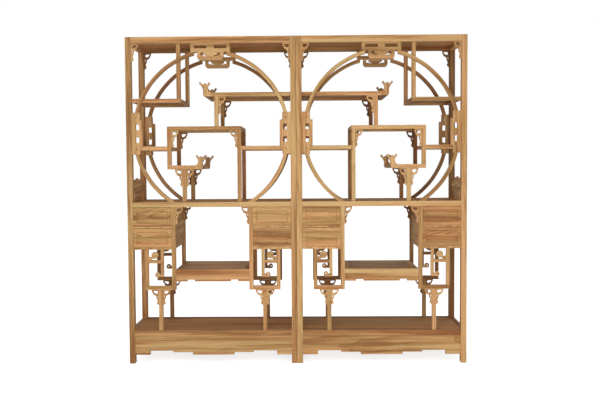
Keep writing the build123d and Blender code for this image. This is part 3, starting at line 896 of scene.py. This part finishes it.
# ---- Fretwork that holds the rings ----
@dataclass
class TopFretwork:
    """A slotted tier under the top rail, over a box with a lobed pendant in its window."""

    outline: tuple[Turn, ...] = (
        corner(119.5, 0), corner(119.5, -59), corner(99.5, -53), corner(82, -53), bend(80, -60),
        bend(80, -76), bend(78.5, -89), bend(73, -96), corner(67, -102), corner(22, -102),
    )
    slot: tuple[Turn, ...] = (corner(21, -31), corner(98, -31), corner(98, -12), corner(21, -12))
    window: tuple[Turn, ...] = (
        corner(60, -56), corner(60, -73), bend(51, -75), bend(40, -77), corner(24, -80),
        corner(24, -74), bend(36, -71), bend(42, -66), corner(43, -56),
    )

    def build(self) -> None:
        """Build the front fretwork and its twin at the back."""
        low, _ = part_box("left_top_fretworks")
        ring_low, ring_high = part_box("left_front_moon_ring")
        place = Vector((plan.middle_x, (ring_low.y + ring_high.y) / 2, plan.rail_under))
        holes = (self.slot, self.window)
        outlines = [
            [*self.outline, *mirror_turns(self.outline)],
            *(half for hole in holes for half in (hole, mirror_turns(hole))),
        ]
        front = saw.cut("top_fretwork", outlines, place, Facing.FRONT, ring_high.y - low.y)
        frets = bench.join("top_fretworks", [front, bench.mirrored(front, 1, 0.0)])
        plan.both_units("top_fretworks", frets)


@dataclass
class SideFretwork:
    """A pierced board on each post, with a step in its middle and an eye near each end."""

    outline: tuple[Turn, ...] = (
        corner(50, 127.5), corner(50, 88), bend(52, 83), corner(58, 80), corner(66, 80),
        corner(66, -80), corner(58, -80), bend(52, -83), corner(50, -88), corner(50, -127.5),
    )
    half: float = 127.5
    eyes_at: float = 93.0  # above and below the middle
    window: tuple[Turn, ...] = (
        corner(23, 20), corner(23, 46), bend(24, 54), bend(34, 57), bend(43, 54), corner(45, 46),
        corner(45, 20), bend(34, 23),
    )

    def build(self) -> None:
        """Build the four boards of each cabinet."""
        low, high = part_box("left_side_fretworks")
        ring_low, ring_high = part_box("left_front_moon_ring")
        place = Vector((low.x, (ring_low.y + ring_high.y) / 2, (low.z + high.z) / 2))
        board = [corner(0, -self.half), corner(0, self.half), *self.outline]
        lower = [Turn(turn.x, -turn.y, turn.sharp) for turn in self.window]
        eyes = [oval(29, y, 3.5, 5) for y in (-self.eyes_at, self.eyes_at)]
        outlines = [board, self.window, lower, *eyes]
        cut = saw.cut("side_fretwork", outlines, place, Facing.FRONT, ring_high.y - low.y)
        pair = [cut, bench.mirrored(cut, 0, plan.middle_x)]
        twins = [bench.mirrored(piece, 1, 0.0) for piece in pair]
        frets = bench.join("side_fretworks", pair + twins)
        plan.both_units("side_fretworks", frets, along=2)


# ---- Brackets, heads and gallery ----
@dataclass
class CornerBrackets:
    """Brackets with a band looped round an open eye, over a lobed arm down the leg."""

    full: float = 108.0  # height that the outline is drawn at
    outline: tuple[Turn, ...] = (
        corner(0, 0), corner(46, 0), corner(46, -9), bend(43, -19), bend(37, -28), bend(37, -33),
        bend(29, -38), bend(21, -43), bend(18, -50), bend(17, -60), bend(12, -69), bend(10.5, -80),
        bend(14, -88), bend(15, -94), bend(10, -101), bend(5, -106), corner(0, -108),
    )
    eye: tuple[Turn, ...] = (
        corner(11, -8.5), corner(36, -8.5), bend(36, -14), bend(29, -22), bend(20, -27),
        bend(11, -26), bend(8.5, -18),
    )
    slit: Oval = (7.0, -50.0, 2.0, 6.5)

    def build(self) -> None:
        """Hang a bracket in the place of each CAD bracket, at the front and at the back."""
        pieces = []
        patterns: dict[int, Piece] = {}
        copy = CadCopy("left_corner_brackets")
        for solid, (low, high) in zip(copy.solids(), copy.boxes()):
            foot = [c.x for c in copy.corners(solid) if c.z < low.z + 1e-4]
            way = 1 if sum(foot) / len(foot) < (low.x + high.x) / 2 else -1
            height = round((high.z - low.z) / MM)
            if height not in patterns:
                patterns[height] = self.pattern(height, high.y - low.y)
            place = Vector((low.x if way > 0 else high.x, (low.y + high.y) / 2, high.z))
            pieces.append(bench.copied(patterns[height], place, way))
        for pattern in patterns.values():
            bpy.data.objects.remove(pattern)
        brackets = bench.join("corner_brackets", pieces)
        # the brackets at the back get painted shade
        plan.both_units("corner_brackets", brackets, cut=Cut(back=2.8), along=2)

    def pattern(self, height: float, thickness: float) -> Piece:
        """Bracket of a height in millimetres with its square corner at the origin."""
        squeeze = height / self.full
        outlines = [
            [Turn(turn.x, turn.y * squeeze, turn.sharp) for turn in outline]
            for outline in (self.outline, self.eye, oval(*self.slit))
        ]
        return Saw(curve_steps=4).cut("bracket", outlines, ORIGIN, Facing.FRONT, thickness)


@dataclass
class ScrollHeads:
    """Heads with two knobs on the free ends of the scroll shelf and the small shelf."""

    thickness: float = 0.0225
    proud: float = 0.0003  # how far they stand out past the front of the shelf
    outline: tuple[Turn, ...] = (
        corner(42, -24), corner(2, -24), bend(-3, -20), bend(-6, -10), bend(-6, 2), bend(-6, 14),
        bend(-10, 27), bend(-17, 39), bend(-26, 49), bend(-30, 57), bend(-25, 63), bend(-18, 59),
        bend(-14, 51), bend(-9, 46), bend(-4, 51), bend(4, 55), bend(12, 54), bend(19, 49),
        bend(23, 55), bend(28, 62), bend(35, 59), bend(34, 51), bend(27, 43), bend(22, 33),
        bend(22, 20), bend(26, 10), bend(33, 3), corner(42, 0),
    )

    def build(self) -> None:
        """Build both heads of each cabinet, at the front and at the back."""
        soft = Saw(edge=0.002, edge_steps=2)
        pattern = soft.cut("head", [self.outline], ORIGIN, Facing.FRONT, self.thickness)
        heads = []
        for node, way in (("left_scroll_shelf", 1), ("left_small_shelf", -1)):
            low, high = self.board(node)
            depth = low.y + self.thickness / 2 - self.proud
            place = Vector((low.x if way > 0 else high.x, depth, high.z))
            front = bench.copied(pattern, place, way)
            heads += [front, bench.mirrored(front, 1, 0.0)]
        bpy.data.objects.remove(pattern)
        finials = bench.join("scroll_finials", heads)
        plan.both_units("scroll_finials", finials, along=2)

    @staticmethod
    def board(node: str) -> tuple[Vector, Vector]:
        """Lowest and highest corner of the widest solid of a shelf."""
        return max(CadCopy(node).boxes(), key=lambda box: box[1].x - box[0].x)


@dataclass
class SideGallery:
    """Cresting between the outer posts: a lobed crown over a panel, both pierced by ovals."""

    outline: tuple[Turn, ...] = (
        bend(10, 143), bend(19, 138), bend(27, 131), bend(38, 132), bend(48, 137), bend(58, 133),
        bend(66, 122), corner(76, 114), corner(147, 110), corner(147, 76), bend(128, 74),
        bend(118, 62), bend(104, 50), bend(88, 52), corner(80, 60), corner(72.5, 60),
        corner(72.5, 0),
    )
    holes: tuple[Oval, ...] = (
        (0, 106, 7, 14),
        (30, 102, 11, 9),
        (58, 86, 9, 12),
        (22, 72, 10, 7),
        (100, 92, 13, 7),
    )

    def build(self) -> None:
        """Build the gallery of each cabinet."""
        low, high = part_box("left_side_gallery")
        place = Vector(((low.x + high.x) / 2, 0.0, low.z))
        holes = [oval(*hole) for hole in self.holes]
        outlines = [
            [*self.outline, *mirror_turns(self.outline)],
            *holes,
            *(mirror_turns(hole) for hole in holes[1:]),
        ]
        cut = saw.cut("side_gallery", outlines, place, Facing.SIDE, high.x - low.x)
        plan.both_units("side_gallery", cut)


# ---- Fret stands ----
@dataclass
class FretStands:
    """Open frames under the drawer cases, with a hook and a cloud on the inner bar."""

    stay: float = 0.07  # bars and posts are longer than this, the hook and the cloud are shorter
    bar: float = 18.0  # width of the bar between them, in millimetres
    hook: tuple[Turn, ...] = (
        corner(18, -171), corner(18, -153), corner(-1, -153), bend(-8, -151), bend(-12, -143),
        bend(-21, -140), bend(-32, -145), bend(-36, -156), bend(-33, -167), bend(-24, -171.5),
        bend(-8, -171),
    )
    cloud: tuple[Turn, ...] = (
        corner(-76, -67), corner(-76, -42), bend(-70, -46), bend(-62, -47), bend(-57, -41),
        bend(-57, -28), bend(-49, -18), bend(-36, -15), bend(-22, -19), bend(-14, -30),
        bend(-16, -45), bend(-27, -55), bend(-42, -57), bend(-53, -59), corner(-56, -67),
    )
    eye: Oval = (-23, -155, 4, 4)

    def build(self) -> None:
        """Build the stands of each cabinet."""
        copy = CadCopy("left_outer_fret_stands")
        long = copy.dressed(self.is_long)
        short = [box for box in copy.boxes() if not self.is_long(*box)]
        low, high = min(short, key=lambda box: (box[0].y, box[0].z))
        top = max(box[1].z for box in copy.boxes())
        place = Vector((high.x - self.bar * MM, (low.y + high.y) / 2, top))
        thickness = high.y - low.y
        soft = Saw(edge=0.003, edge_steps=2)
        carved = [
            soft.cut("hook", [self.hook, oval(*self.eye)], place, Facing.FRONT, thickness),
            soft.cut("cloud", [self.cloud], place, Facing.FRONT, thickness),
        ]
        twins = [bench.mirrored(piece, 1, 0.0) for piece in carved]
        outer = bench.join("outer_fret_stands", long + carved + twins)
        inner = bench.mirrored(outer, 0, plan.middle_x)
        for name, stand in (("outer_fret_stands", outer), ("inner_fret_stands", inner)):
            # the members of the stands at the back get painted shade
            plan.both_units(name, stand, cut=Cut(back=2.2))

    def is_long(self, low: Vector, high: Vector) -> bool:
        """Whether a solid is a bar, a post or a leg."""
        return max(high.x - low.x, high.z - low.z) > self.stay


@dataclass
class Drawers:
    """The four drawers of each cabinet."""

    # narrow faces in the drawers' grooves get painted shade
    cut: Cut = Cut(spread=0.055, shaded_grooves=True)

    def build(self) -> None:
        """Dress every drawer."""
        for place in ("outer", "inner"):
            for level in ("lower", "upper"):
                node = f"{place}_{level}_drawer"
                drawer = bench.join(node, CadCopy(f"left_{node}").dressed())
                plan.both_units(node, drawer, Slot.DRAWER, body=node, cut=self.cut)


# ---- Studio and camera ----
@dataclass
class Camera:
    """Level view of the whole front, a little right of the seam."""

    place: Triple = (0.043, -4.053, 1.224)
    yaw: float = -0.01174
    pitch: float = -0.0383
    roll: float = -0.006493
    focal_share: float = 637.6 / 600  # focal length as a share of the picture's width
    shift: Pair = (0.00653, -0.01888)  # of the lens, as shares of the picture's width
    sensor: float = 36.0

    def build(self) -> None:
        """Add the camera and make it the scene's own."""
        bpy.ops.object.camera_add(location=self.place)
        camera = bpy.context.object
        camera.name = "front_camera"
        right = Vector((math.cos(self.yaw), -math.sin(self.yaw), 0))
        level = Vector((math.sin(self.yaw), math.cos(self.yaw), 0))
        forward = level * math.cos(self.pitch) + Vector((0, 0, math.sin(self.pitch)))
        up = right.cross(forward)
        across = right * math.cos(self.roll) + up * math.sin(self.roll)
        upwards = up * math.cos(self.roll) - right * math.sin(self.roll)
        turn = Matrix((across, upwards, -forward)).transposed().to_4x4()
        camera.matrix_world = Matrix.Translation(self.place) @ turn
        camera.data.sensor_width = self.sensor
        camera.data.lens = self.focal_share * self.sensor
        camera.data.shift_x, camera.data.shift_y = self.shift
        bpy.context.scene.camera = camera


@dataclass
class Studio:
    """White room: a pale floor, an even sky and soft lamps."""

    floor_size: float = 40.0
    floor_colour: float = 0.8
    floor_glow: float = 0.75
    sky: float = 0.42
    lamps: tuple[tuple[Triple, float, float], ...] = (
        ((-1.2, -4.0, 3.0), 2.2, 46.0),
        ((2.4, -4.0, 2.0), 2.0, 15.0),
        ((0.2, -3.3, 0.3), 2.2, 94.0),
        ((3.4, 3.2, 2.8), 2.4, 26.0),
        ((-3.4, 3.2, 2.8), 2.4, 20.0),
    )
    aim: Triple = (0.0, 0.0, 1.2)

    def build(self) -> None:
        """Build the floor, the sky and the lamps."""
        self.build_floor()
        self.build_sky()
        for place, size, power in self.lamps:
            bpy.ops.object.light_add(type="AREA", location=place)
            lamp = bpy.context.object
            lamp.data.size = size
            lamp.data.energy = power
            towards = Vector(self.aim) - Vector(place)
            lamp.rotation_euler = towards.to_track_quat("-Z", "Y").to_euler()
        bpy.context.scene.view_settings.view_transform = "Standard"

    def build_floor(self) -> None:
        """Add the floor, which glows a little for the camera alone and keeps the shadow."""
        bpy.ops.mesh.primitive_plane_add(size=self.floor_size)
        floor = bpy.context.object
        floor.name = "studio_floor"
        material = bpy.data.materials.new("studio_floor")
        graph = Graph(material)
        seen = graph.add("LightPath").outputs["Is Camera Ray"]
        shade = graph.add("BsdfDiffuse", {"Color": (*(self.floor_colour,) * 3, 1.0)})
        strength = graph.math("MULTIPLY", seen, self.floor_glow)
        glow = graph.add("Emission", {"Color": (1, 1, 1, 1), "Strength": strength})
        both = graph.add("AddShader", {0: shade.outputs[0], 1: glow.outputs[0]})
        graph.add("OutputMaterial", {"Surface": both.outputs[0]})
        floor.data.materials.append(material)

    def build_sky(self) -> None:
        """White to the eye, and an even soft light to everything else."""
        world = bpy.data.worlds.new("studio_sky")
        bpy.context.scene.world = world
        graph = Graph(world)
        seen = graph.add("LightPath").outputs["Is Camera Ray"]
        strength = graph.fit(seen, 0.0, 1.0, (self.sky, 1.0))
        light = graph.add("Background", {"Color": (1, 1, 1, 1), "Strength": strength})
        graph.add("OutputWorld", {"Surface": light.outputs[0]})


plan = Plan()
materials = {finish.slot: finish.material() for finish in FINISHES}


def main() -> None:
    """Build the cabinets, then the studio and the camera."""
    logging.basicConfig(level=logging.INFO, format="%(message)s")
    parts = (
        Carcass(),
        MoonRings(),
        TopFretwork(),
        SideFretwork(),
        CornerBrackets(),
        ScrollHeads(),
        SideGallery(),
        FretStands(),
        Drawers(),
        Studio(),
        Camera(),
    )
    for part in parts:
        log.info("== %s", type(part).__name__)
        part.build()


if __name__ == "__main__":
    main()
